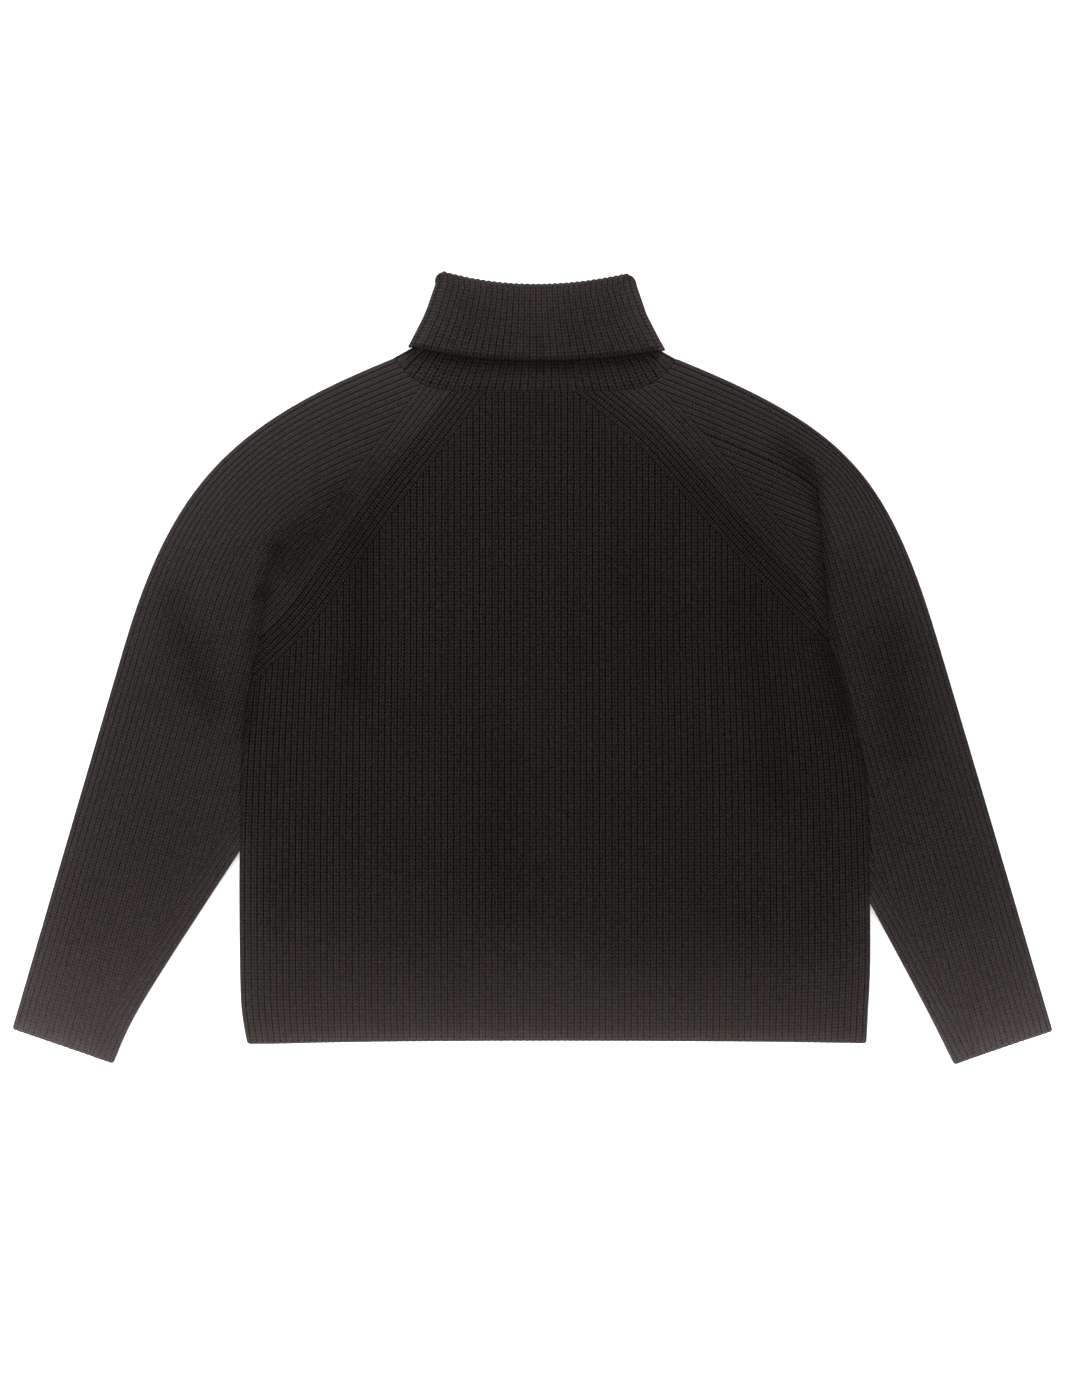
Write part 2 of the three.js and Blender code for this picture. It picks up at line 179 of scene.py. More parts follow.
# The collar's lines: both ends as worn, how low the middle comes in front and behind, how flat it is, height
collarLines = {
    "seam": ((-125.3, 283.9), (131.8, 281.9), 253.7, 276, 7.5, 2.7),
    "base": ((-104, 295), (113, 292), 283, 282.5, 2.5, 5.8),
    "waist": ((-91, 330), (98, 330), 320, 320, 2.2, 5.8),
    "inside": ((-82.5, 360.3), (89.5, 358.5), 348.3, 348.3, 2, 5.8),
    "fold": ((-82.5, 363.5), (89.5, 361.7), 351.5, 351.5, 2, 5.8),
    "turned": ((-82, 353), (89, 352), 341, 341, 2, 5.8),
    "middle": ((-91, 326), (98.5, 325), 314, 314, 2, 5.8),
    "edge": ((-105.7, 295.5), (114.7, 292.5), 283.5, 283.5, 2, 5.8),
    "edgeTip": ((-106.2, 294.4), (115.2, 291.4), 282.4, 282.4, 2, 5.8),
}


def collarPoint(name, share, behind):
    right, left, front, back, flat, z = collarLines[name]
    sag = 1 - np.abs(2 * share - 1) ** flat
    x = right[0] + (left[0] - right[0]) * share
    y = right[1] + (left[1] - right[1]) * share
    return np.array([x, y + (np.where(behind, back, front) - y) * sag, z + 0 * share])


def neckSeam(behind):
    share = np.linspace(0, 1, 90)
    return collarPoint("seam", share, behind)[:2].T


def neckBorder(behind):  # the same, long enough to cut every rib
    return lengthen(neckSeam(behind), 20, 20)


def sleeveLine(side, depth, steps=26, straight=None):
    # one rib of a sleeve from neck to beyond the cuff, and where its courses start; with straight, only the
    # part above the crease, which goes straight on from that share of the bend
    places = ("neckTangent", "shoulder", "armTangent", "cuffOuter")
    point = {place: np.array(side[place], float) for place in places}
    toNeck = point["neckTangent"] - point["shoulder"]
    toNeck /= np.linalg.norm(toNeck)
    toCuff = point["cuffOuter"] - point["armTangent"]
    toCuff /= np.linalg.norm(toCuff)
    inward = (toNeck + toCuff) / np.linalg.norm(toNeck + toCuff)
    sine = abs(inward[0] * toNeck[1] - inward[1] * toNeck[0])
    corner = point["shoulder"] + inward * depth / sine
    run = bend["run"] * (1 - depth / bend["depth"])
    weight = side["shoulderWeight"] + side["shoulderBend"] * depth
    first, last = corner + toNeck * run, corner + toCuff * run
    neckEnd = first + toNeck * bend["pastNeck"]
    q = np.linspace(0, 1, steps)[:, None]
    if straight is not None:
        q = q * straight
    weights = [(1 - q) ** 2, 2 * weight * q * (1 - q), q**2]
    bow = (weights[0] * first + weights[1] * corner + weights[2] * last) / sum(weights)
    if straight is not None:
        bent = straight > 0.02
        along = bow[-1] - bow[-2] if bent else -toNeck
        creaseEnd = bow[-1] + along / np.linalg.norm(along) * bend["pastCrease"]
        return np.vstack([neckEnd, bow if bent else bow[:1], creaseEnd])
    cuffInner = np.array(side["underarmSeam"][-1], float)
    cuff = cuffInner - point["cuffOuter"]
    gap = cuffInner - last
    length = (gap[0] * cuff[1] - gap[1] * cuff[0]) / (toCuff[0] * cuff[1] - toCuff[1] * cuff[0])
    line = np.vstack([neckEnd, bow, last + toCuff * (length + bend["pastCuff"])])
    courseStart = (last - point["cuffOuter"]) @ toCuff - arcLengths(line)[steps]
    return line, courseStart


for side in sides.values():
    side["raglanLine"] = smoothLine(side["raglan"], 24)
    side["ribLine"] = smoothLine(side["raglanRib"], 24)
    side["seamLine"] = smoothLine(side["underarmSeam"], 24)
    side["bodyLine"] = smoothLine(side["bodySide"], 40)
    side["cuffLine"] = np.array([side["cuffOuter"], side["underarmSeam"][-1]], float)
    outerRib = sleeveLine(side, 0)[0]
    foldEnd = arcLengths(outerRib)[-1] - bend["pastCuff"]
    side["foldLine"] = pointsAt(outerRib, np.linspace(bend["foldFrom"], foldEnd, 60))
frontNeck = neckSeam(False)
edges = [np.array([sides["right"]["bodySide"][-1], sides["left"]["bodySide"][-1]], float)]
for side in sides.values():
    edges += [side["foldLine"], side["cuffLine"], side["seamLine"], side["bodyLine"]]


def layLevel(x, y):  # top of the upper layer, at the bottom of its grooves
    edge = np.min([distanceTo(line, x, y) for line in edges], axis=0)
    inside = 1 - np.exp(-edge / lay["loftReach"])
    neck = 1 - (1 - lay["neckShare"]) * np.exp(-distanceTo(frontNeck, x, y) / lay["loftReach"])
    rise = lay["loft"] * inside * neck
    for length, turn, phase, height in swells:
        along = x * math.cos(math.radians(turn)) + y * math.sin(math.radians(turn))
        rise = rise + height * inside * neck * np.sin(2 * math.pi * along / length + phase)
    for line, depth, halfWidth in creases:
        rise = rise - depth * np.exp(-((distanceTo(np.array(line, float), x, y) / halfWidth) ** 2))
    return lay["seamLevel"] + np.maximum(rise, -lay["deepest"] * inside)


# Ribs
ribSteps = [0, 0.09, 0.24, 0.41, 0.59, 0.76, 0.91]  # columns of points across one rib
courseHeight = 3.0
groove = {
    "rise": 1.75,
    "round": 2.3,
    "steep": 0.9,
    "flatter": 0.3,  # share of the rise lost toward hem and cuffs, from which y and over what length
    "flatterFrom": -120,
    "flatterOver": 200,
}


def ribShape(across):
    away = np.abs(2 * (across % 1) - 1)
    return (1 - away ** groove["round"]) ** groove["steep"]


def ribColumns(first, last, steps=ribSteps):
    made = [k + s for k in range(int(math.floor(first)), int(math.ceil(last))) for s in steps]
    return np.array([first] + [a for a in made if first + 0.04 < a < last - 0.04] + [last])


# Cloth meshes
def vertexPlaces(mesh):
    flat = np.empty(len(mesh.vertices) * 3)
    mesh.vertices.foreach_get("co", flat)
    return flat.reshape(-1, 3)


def clothGrid(name, points, courses, thickness, wrap=False):
    # points is columns by rows by x, y, z in mm; courses is the same by rib count and course count
    columns, rows = points.shape[:2]
    across, down = points[1:, :-1] - points[:-1, :-1], points[:-1, 1:] - points[:-1, :-1]
    turned = (across[..., 0] * down[..., 1] - across[..., 1] * down[..., 0]).sum()
    facesUp = points[..., 2].mean() > 2
    if not wrap and turned * (1 if facesUp else -1) < 0:
        points, courses = points[::-1], courses[::-1]
    bpy.ops.object.select_all(action="DESELECT")
    bpy.ops.mesh.primitive_grid_add(x_subdivisions=columns - 1, y_subdivisions=rows - 1, size=2)
    cloth = bpy.context.object
    cloth.name = name
    mesh = cloth.data
    grid = vertexPlaces(mesh)
    order = np.lexsort((grid[:, 0].round(6), grid[:, 1].round(6)))
    placed = np.empty_like(grid)
    placed[order] = points.transpose(1, 0, 2).reshape(-1, 3) / 1000
    mesh.vertices.foreach_set("co", placed.ravel())
    ribUv = np.empty((len(grid), 2))
    ribUv[order] = courses.transpose(1, 0, 2).reshape(-1, 2)
    corner = np.empty(len(mesh.loops), int)
    mesh.loops.foreach_get("vertex_index", corner)
    mesh.uv_layers.active.name = "ribs"
    mesh.uv_layers.active.data.foreach_set("uv", ribUv[corner].ravel())
    mesh.update()
    if wrap:
        bpy.ops.object.mode_set(mode="EDIT")
        bpy.ops.mesh.select_all(action="SELECT")
        bpy.ops.mesh.remove_doubles(threshold=1e-6)
        bpy.ops.mesh.normals_make_consistent(inside=False)
        bpy.ops.object.mode_set(mode="OBJECT")
    if thickness:
        solid = cloth.modifiers.new("thickness", "SOLIDIFY")
        solid.thickness = thickness / 1000
        solid.offset = -1
        bpy.ops.object.modifier_apply(modifier=solid.name)
        walls = vertexPlaces(mesh)
        walls[:, 2] = np.maximum(walls[:, 2], lay["tableGap"] / 1000)
        mesh.vertices.foreach_set("co", walls.ravel())
        mesh.update()
    bpy.ops.object.shade_smooth_by_angle(angle=math.radians(55))
    return cloth


def joinCloth(name, parts):
    bpy.ops.object.select_all(action="DESELECT")
    for part in parts:
        part.select_set(True)
    bpy.context.view_layer.objects.active = parts[0]
    bpy.ops.object.join()
    parts[0].name = name
    parts[0].data.name = name
    return parts[0]


def spread(line, start, end, rows, courseStart=0, close=(0, 1)):
    # rows of a column between two lengths of a line, closer together at the ends that close names
    near = np.array([0, 0.7, 1.8]) * min(1, (end - start) / 30)
    first = start + near if close[0] else np.array([start])
    last = end - near[::-1] if close[1] else np.array([end])
    middle = np.linspace(first[-1], last[0], rows - len(first) - len(last) + 2)[1:-1]
    lengths = np.concatenate([first, middle, last])
    return pointsAt(line, lengths), courseStart + lengths


# Hem and cuffs: each pair is a length and how far up the cloth it fades out
openEdge = {
    "beyond": (1.3, 30),  # past the frame's edge
    "scallop": (0.3, 3),  # the ribs reach further than the grooves
    "corner": (3.2, 6),  # radius of the corners
    "rounding": 2.2,  # radius over the edge
    "hang": [  # corners that come down further still
        ((-238, -324), 1.6),
        (sides["right"]["underarmSeam"][-1], 0.9),
        (sides["left"]["underarmSeam"][-1], 2.0),
    ],
    "hangReach": 45,
}
underside = {"level": 0.45, "rise": 0.4}  # ribs of the layer that lies on the table


def openEnds(plan, fromEnd, shape, atEdge, turn):  # the plan with its open ends moved out along the ribs
    step = plan[:, -1:] - plan[:, -2:-1]
    step = step / np.linalg.norm(step, axis=-1)[..., None]
    beyond, fade = openEdge["beyond"]
    for place, extra in openEdge["hang"]:
        away = np.hypot(*(plan[:, -1] - place).T)
        beyond = beyond + extra * np.exp(-away / openEdge["hangReach"])
    push = beyond[:, None] * np.exp(-fromEnd / fade)
    scallop, fade = openEdge["scallop"]
    push = push + scallop * (shape - 0.3) * np.exp(-fromEnd / fade)
    if turn is not None:
        radius, fade = openEdge["corner"]
        inside = np.minimum(lay["foldRadius"] * (1 - np.cos(turn)), radius)
        short = radius - np.sqrt(radius**2 - (radius - inside) ** 2)
        push = push - short[:, None] * np.exp(-fromEnd / fade)
    return plan + (push * atEdge[:, None])[..., None] * step


def ribPatch(name, columns, ribs, folds=None, atEdge=None, under=False, startRound=0, drop=0):
    # columns are lists of plan points and course lengths; folds gives each column's angle above the
    # silhouette and the way out of the fold; atEdge says for each column whether it ends at hem or cuff
    plan = np.array([column[0] for column in columns])
    along = np.array([column[1] for column in columns])
    fromEnd = np.abs(along - along[:, -1:])
    shape = ribShape(np.array(ribs))[:, None]
    if atEdge is not None:
        plan = openEnds(plan, fromEnd, shape, atEdge, folds[0] if folds else None)
    x, y = plan[..., 0], plan[..., 1]
    if under:
        points = np.stack([x, y, underside["level"] - underside["rise"] * shape * np.ones_like(x)], -1)
    else:
        low = np.clip((groove["flatterFrom"] - y) / groove["flatterOver"], 0, 1)
        height = groove["rise"] * shape * (1 - groove["flatter"] * low)
        z = layLevel(x, y) - drop
        if startRound:
            z = z - rounded(np.abs(along - along[:, :1]), startRound)
        outX, outY, up = 0 * x, 0 * x, 1 + 0 * x
        if folds:
            turn, outward = folds
            cosine, sine = np.cos(turn)[:, None], np.sin(turn)[:, None]
            below = lay["foldRadius"] * (1 + sine)
            z = np.where(sine < 0, below, z - lay["foldRadius"] * (1 - sine))
            outX, outY, up = outward[..., 0] * cosine, outward[..., 1] * cosine, sine + 0 * x
        if atEdge is not None:
            z = z - rounded(fromEnd, openEdge["rounding"]) * np.where(up > 0, up, 0)
        points = np.stack([x + height * outX, y + height * outY, z + height * up], -1)
        points[..., 2] = np.maximum(points[..., 2], 0.05)
    courses = np.stack([np.array(ribs)[:, None] + 0 * x, along / courseHeight], -1)
    return clothGrid(name, points, courses, lay["clothThickness"])


# Body
body = {
    "ribs": 100,
    "right": -268.5,  # its straight sides
    "left": 311,
    "hem": -345,
    "hemRise": 2,  # the middle of the hem above its corners
    "hemRiseOver": 100,
    "pull": 60,  # how far a bend of the sides is felt inside them
    "rows": 54,
    "plainRows": 26,  # fewer on the layer that lies on the table
    "plainSteps": [0, 0.2, 0.5, 0.8],
    "plainInset": 0.45,
    "sideRib": 5.77,  # width of the ribs turned under at the sides
    "topRound": 1.3,
}
band = {
    "ribs": 5,
    "pitch": 5.1,
    "rows": 56,
    "pastNeck": 60,
    "pastUnderarm": 75,
    "edgeRound": 2.2,
    "tuck": 1.6,  # under the body where the raglan seam and the crease run together
}
quarter = math.pi / 2 * lay["foldRadius"]
turnedUnder = quarter * 0.98  # cloth turned under round a fold


def foldTurn(length):  # angle round a fold of a point at that length along the cloth from the silhouette
    return np.clip(length / lay["foldRadius"], -math.pi / 2, math.pi / 2)


def foldDepth(length):  # how far inside the silhouette it lies
    turned = lay["foldRadius"] * (1 - np.cos(foldTurn(length)))
    return turned + np.maximum(np.abs(length) - quarter, 0)


def bodyColumn(across, folded):
    y = np.concatenate([np.linspace(body["hem"], 60, 46), np.linspace(75, 300, 16)])
    sideLines = []
    for side, straight in ((sides["right"], body["right"]), (sides["left"], body["left"])):
        line = side["bodyLine"][::-1]
        sideLines.append((np.interp(y, line[:, 1], line[:, 0]), straight))
    width = body["left"] - body["right"] + 2 * (quarter - lay["foldRadius"]) * folded
    cloth = across / body["ribs"] * width
    fromRight = foldDepth(cloth) if folded else cloth
    fromLeft = foldDepth(width - cloth) if folded else width - cloth
    x = np.where(cloth < width / 2, body["right"] + fromRight, body["left"] - fromLeft)
    for (lineX, straight), away in ((sideLines[0], fromRight), (sideLines[1], fromLeft)):
        x = x + (lineX - straight) * math.exp(-max(away, 0) / body["pull"])
    nearHem = np.clip(1 - (y - body["hem"]) / body["hemRiseOver"], 0, 1)
    rise = body["hemRise"] * nearHem * (1 - (2 * across / body["ribs"] - 1) ** 2)
    return np.stack([x + 0 * y, y + rise], 1), cloth, width


def bandSide(side, sideways, pastUnderarm):  # where a band ends and the body's or the sleeve's own ribs start
    ribLine = lengthen(side["ribLine"], band["pastNeck"], pastUnderarm)
    return offsetLine(ribLine, sideways * band["ribs"] * band["pitch"])


def bodyMain(name, behind):
    borders = [bandSide(side, side["bodyward"], band["pastUnderarm"]) for side in sides.values()]
    borders.append(neckBorder(behind))
    ribs, columns, turns, outward = [], [], [], []
    rows = body["plainRows"] if behind else body["rows"]
    first = body["plainInset"] if behind else -turnedUnder / body["sideRib"]
    for a in ribColumns(first, body["ribs"] - first, body["plainSteps"] if behind else ribSteps):
        line, cloth, width = bodyColumn(a, not behind)
        hits = [crossings(line, border) for border in borders]
        ends = [h[0] for h in hits if len(h)]
        if not ends:
            continue
        early = 0.3 + 2 * max(0, 1 - min(a, body["ribs"] - a) / 2.5)  # tucked under the band at the sides
        whole = arcLengths(line)[-1]
        columns.append(spread(line[::-1], whole - min(ends) - early, whole, rows, 0, (1, 1)))
        ribs.append(a)
        turns.append(min(foldTurn(cloth), foldTurn(width - cloth)))
        outward.append(np.tile([-1.0 if a < body["ribs"] / 2 else 1.0, 0.0], (rows, 1)))
    atHem = np.ones(len(ribs))
    if behind:
        return ribPatch(name, columns, ribs, atEdge=atHem, under=True)
    folds = (np.array(turns), np.array(outward))
    return ribPatch(name, columns, ribs, folds, atHem, startRound=body["topRound"])


def bandPatch(name, side, sideways, end, behind, first=0):
    neck = neckBorder(behind)
    ribLine = lengthen(side["ribLine"], band["pastNeck"], band["pastUnderarm"])
    rows = body["plainRows"] if behind else band["rows"]
    columns, ribs = [], []
    for a in ribColumns(first, band["ribs"], body["plainSteps"] if behind else ribSteps):
        line = offsetLine(ribLine, sideways * (a if abs(a) > 0.03 else 0.03) * band["pitch"])
        starts, ends = crossings(line, neck if a >= 0 else side["raglanLine"]), crossings(line, end)
        if a < 0 and not len(starts):
            continue
        start = starts[0] if len(starts) else band["pastNeck"]
        start -= min(max(-1.5 - a, 0), 1) * band["tuck"]
        finish = ends[-1] if len(ends) else arcLengths(line)[-2] - 40
        if finish < start + 1:
            continue
        columns.append(spread(line, start, finish, rows, 0, (0, 1)))
        ribs.append(a)
    plan = np.array([column[0] for column in columns])
    drop = rounded(distanceTo(end, plan[..., 0], plan[..., 1]), band["edgeRound"])
    return ribPatch(name, columns, ribs, under=behind, drop=drop)


def bodyPiece(name, behind):
    parts = [bodyMain(name, behind)]
    for side in sides.values():
        edge = np.vstack([side["raglanLine"][-8:-1], side["bodyLine"]])
        edge = offsetLine(edge, side["bodyward"] * (3 if behind else 0.3))
        parts.append(bandPatch(name + "Band", side, side["bodyward"], edge, behind))
    return joinCloth(name, parts)


frontCloth = bodyPiece("frontCloth", False)
print("front:", len(frontCloth.data.polygons), "faces")
backCloth = bodyPiece("backCloth", True)
print("back:", len(backCloth.data.polygons), "faces")

# Sleeves
sleeve = {
    "pitch": 5.4,
    "width": 165,  # from the fold to past the deepest rib
    "rows": {"upper": 96, "lower": 60, "panel": 24},
    "borderRibs": 4,  # along the underarm seam
    "borderPitch": 5.2,
    "borderRows": 64,
    "borderPlainRows": 30,
    "plainSteps": [0, 0.25, 0.5, 0.75],
    "plainInset": 3.2,
    "startRound": 1.3,
    "tuckDrop": 2.6,  # where a rib passes under the edge of the body
    "edgeRound": 2.2,
    "edgeDrop": 2.3,
    "creaseTurn": 22,  # depth over which the ribs above the crease straighten
}


def waysOut(points, sideways):  # the way out of a fold, square to each point's own rib
    way = np.gradient(points, axis=0)
    way /= np.maximum(np.linalg.norm(way, axis=1), 1e-9)[:, None]
    return sideways * np.stack([-way[:, 1], way[:, 0]], 1)


def besideLine(line, until, count, away):  # the length along a line at which away, of its points, is least
    lengths = np.linspace(60, until, count)
    return lengths[away(pointsAt(line, lengths)).argmin()]


def sleeveRibs(side, behind, borders):
    # each rib's run or runs: the upper from neck or band to border or cuff, the lower from the body's edge,
    # and the panel above the crease; a run is rib, line, start, end, start of its courses, where it is tucked
    neck, outer, low, border, cuff = borders
    first = sleeve["plainInset"] if behind else -turnedUnder
    steps = sleeve["plainSteps"] if behind else ribSteps
    runs, top = {"upper": [], "lower": [], "panel": []}, None
    for a in ribColumns(first / sleeve["pitch"], sleeve["width"] / sleeve["pitch"], steps):
        length = a * sleeve["pitch"]
        line, courseStart = sleeveLine(side, float(length if behind else foldDepth(length)))
        atNeck, atBand, atLow = crossings(line, neck), crossings(line, outer), crossings(line, low)
        stops = np.concatenate([crossings(line, border), crossings(line, cuff)])
        meets = [h[0] for h in (atNeck, atBand) if len(h)]
        if side["shoulderBend"] and len(atLow):
            # below the top of the crease a rib goes into it and comes out lower down
            legs = [(a, length)]
            if top is None:  # both new parts begin with the last whole rib line, so that no gap opens
                top = length
                whole = runs["upper"][-1]
                nearest = besideLine(whole[1], whole[3], 600, lambda p: np.hypot(*(p - low[1]).T))
                runs["lower"].append((*whole[:2], nearest, *whole[3:]))
                legs = [(whole[0], length - 1.1), (a, length)]
            for b, depth in legs:
                share = 0.5 * min(1, max(0, 1 - (depth - top) / sleeve["creaseTurn"]))
                leg = sleeveLine(side, float(depth), straight=share)
                starts, ends = crossings(leg, outer), crossings(leg, lengthen(low, 12, 0))
                if len(starts) and len(ends) and ends[0] > starts[0] + 1:
                    runs["panel"].append((b, leg, starts[0], ends[0] + 0.5, 0, (0, 0)))
            meets = []
        elif not meets and len(atLow) and not runs["lower"]:  # the first clear of the band starts beside it
            start = besideLine(line, atLow[0], 300, lambda p: distanceTo(outer, p[:, 0], p[:, 1]))
            tucked = (start - 4, atLow[0])
            runs["upper"].append((a, line, start, stops[stops > atLow[-1]].min(), courseStart, tucked))
        if not meets and not len(atLow):
            continue
        kind = "upper" if meets else "lower"
        back = len(atLow) > 2  # it passes under the edge of the body once more
        start = max(meets) if meets else atLow[0 if back else -1]
        ends = stops[stops > (start if meets else atLow[-1]) + 0.5]
        if not len(ends):
            continue
        tucked = (atLow[1], atLow[2]) if back else (0, 0)
        if meets and len(atBand) > 1 and len(atLow):
            tucked = (atBand[1], atLow[-1])
        runs[kind].append((a, line, start, ends.min(), courseStart, tucked))
    return runs


def sleeveMain(name, side, behind):
    sideways = -side["bodyward"]
    outer = bandSide(side, sideways, 5)
    besideBody = np.where(side["bodyLine"][:, 1:] > 5, [[-2.4 * sideways, 0]], [[0.3 * sideways, 0]])
    low = np.vstack([lengthen(np.array(side["crease"][:-1], float), 8, 0), side["bodyLine"] + besideBody])
    borderWidth = sleeve["borderRibs"] * sleeve["borderPitch"]
    border = offsetLine(lengthen(side["seamLine"], 90, 20), sideways * borderWidth)
    cuff = lengthen(side["cuffLine"], 30, 0)
    patches = []
    for kind, runs in sleeveRibs(side, behind, (neckBorder(behind), outer, low, border, cuff)).items():
        if not runs:
            continue
        rows = sleeve["rows"][kind] // (2 if behind else 1)
        ribs, columns, drops = [], [], []
        for rib, line, start, end, courseStart, tucked in runs:
            ribs.append(rib)
            columns.append(spread(line, start, end, rows, courseStart, (1, 1)))
            place = columns[-1][1] - courseStart
            inTuck = np.clip((place - tucked[0]) / 4, 0, 1) * np.clip((tucked[1] - place) / 1.5, 0, 1)
            drops.append(sleeve["tuckDrop"] * inTuck)
        plan = np.array([column[0] for column in columns])
        drop = np.array(drops)
        toLow = distanceTo(low, plan[..., 0], plan[..., 1])
        if kind == "panel":
            drop = rounded(toLow, sleeve["edgeRound"])
        if kind == "lower":
            drop = np.maximum(drop, sleeve["edgeDrop"] * np.exp(-((toLow / 2.4) ** 2)))
        atCuff = None if kind == "panel" else 1.0 * (distanceTo(cuff, plan[:, -1, 0], plan[:, -1, 1]) < 1)
        if behind:
            patches.append(ribPatch(name + kind, columns, ribs, atEdge=atCuff, under=True))
            continue
        turns = [foldTurn(rib * sleeve["pitch"]) for rib in ribs]
        folds = (np.array(turns), np.array([waysOut(points, sideways) for points in plan]))
        startRound = 0 if kind == "lower" else sleeve["startRound"]
        patches.append(ribPatch(name + kind, columns, ribs, folds, atCuff, startRound=startRound, drop=drop))
    return patches


def borderPatch(name, side, behind):
    sideways = -side["bodyward"]
    pitch = sleeve["borderPitch"]
    flank = lengthen(offsetLine(side["bodyLine"], sideways * 0.5), 5, 5)
    cuff = lengthen(side["cuffLine"], 30, 30)
    seam = lengthen(side["seamLine"], 90, 30)
    first = sleeve["plainInset"] if behind else -turnedUnder
    last = sleeve["borderRibs"] * pitch + quarter - lay["foldRadius"]
    rows = sleeve["borderPlainRows"] if behind else sleeve["borderRows"]
    columns, ribs = [], []
    for a in ribColumns(first / pitch, last / pitch, sleeve["plainSteps"] if behind else ribSteps):
        line = offsetLine(seam, sideways * (a * pitch if behind else foldDepth(a * pitch)))
        starts, ends = crossings(line, flank), crossings(line, cuff)
        start = starts[-1] if len(starts) else 88
        columns.append(spread(line, start, ends[-1], rows))
        ribs.append(a)
    atCuff = np.ones(len(ribs))
    if behind:
        return ribPatch(name, columns, ribs, atEdge=atCuff, under=True)
    turns = [foldTurn(a * pitch) for a in ribs]
    folds = (np.array(turns), np.array([waysOut(column[0], -sideways) for column in columns]))
    return ribPatch(name, columns, ribs, folds, atCuff)


def sleevePiece(name, side):
    parts = []
    for behind in (False, True):
        parts += sleeveMain(name + "Main", side, behind)
        parts.append(borderPatch(name + "Border", side, behind))
        end = lengthen(np.array(side["crease"], float), 12, 6)
        first = 0 if side is sides["right"] else -4  # on the left ribs fill the gap between seam and rib line
        parts.append(bandPatch(name + "Band", side, -side["bodyward"], end, behind, first))
    return joinCloth(name, parts)


sleeveRight = sleevePiece("sleeveRightCloth", sides["right"])
print("right sleeve:", len(sleeveRight.data.polygons), "faces")
sleeveLeft = sleevePiece("sleeveLeftCloth", sides["left"])
print("left sleeve:", len(sleeveLeft.data.polygons), "faces")

# Collar
collar = {
    "ribs": 34,
    "rise": 1.2,
    "halfGap": 0.5,  # half the space inside it
    "standOut": 2.1,  # how far out the stand's own cloth lies, and the two sides of the part turned over it
    "overIn": 3.7,
    "overOut": 5.4,
    "flare": 0.9,  # how much further out the turned-over edge is
    "tipScallop": 0.9,  # how much further down its ribs reach than its grooves
    "ripple": 0.2,
    "sideRibs": 1.6,  # ribs and columns round each side
    "sideSteps": 12,
    "width": 172,
    "foldCorners": (6.5, 9.5),  # their radius, right and left as worn
}


def collarSection():
    # once round the folded cloth: two lines and a share between them, how far out it is, how much of a rib
    # it shows and how much that rib pushes it up
    made = []

    def add(low, high, share, out, rib, lift=0):
        made.append((low, high, share, out, rib, lift))

    for low, high in (("seam", "base"), ("base", "waist"), ("waist", "inside")):
        for k in range(3):
            add(low, high, k / 3, 0, 0)
    for k in range(13):  # over the fold
        turn = math.pi * k / 12
        out = collar["overOut"] / 2 * (1 - math.cos(turn))
        rib = max(0.0, 0.35 - math.cos(turn)) / 1.35
        add("inside", "fold", math.sin(turn), out, rib, math.sin(turn) * (0.8 if k > 2 else 0.25))
    for low, high, count in (("inside", "turned", 3), ("turned", "middle", 9), ("middle", "edge", 12)):
        flare = collar["flare"] if high == "edge" else 0
        for k in range(1, count + 1):
            add(low, high, k / count, collar["overOut"] + flare * (k / count) ** 2, 1)
    outer, inner = collar["overOut"] + collar["flare"], collar["overIn"] + collar["flare"]
    for k in range(1, 7):  # the turned-over edge
        turn = math.pi * k / 7
        out = (outer + inner) / 2 + (outer - inner) / 2 * math.cos(turn)
        add("edge", "edgeTip", math.sin(turn), out, max(0.0, math.cos(turn)))
    for k in range(6):
        add("edge", "inside", k / 5, inner + (collar["overIn"] - inner) * k / 5, 0)
    for k in range(6):
        add("inside", "waist", k / 5, collar["standOut"], 0.2)
    for k in range(1, 6):
        add("waist", "base", k / 5, collar["standOut"], 0.8)
    for k in range(1, 13):
        add("base", "seam", k / 12, collar["standOut"], 0.8 if k < 11 else 0.5)
    return made


def collarRing():  # columns round it: share of the way across, 0 in front to 1 behind, ribs counted on
    count, steps, side = collar["ribs"], collar["sideSteps"], collar["sideRibs"]
    ring = [(a / count, 0, a) for a in ribColumns(0, count)]
    ring += [(1, k / steps, count + side * k / steps) for k in range(1, steps + 1)]
    backColumns = ribColumns(0, count, [0, 0.33, 0.67])
    ring += [(1 - a / count, 1, count + side + a) for a in backColumns[1:-1]]
    ring += [(0, 1 - k / steps, 2 * count + side + side * k / steps) for k in range(steps)]
    ring.append((0, 0, 2 * count + 2 * side))
    return np.array(ring, float)


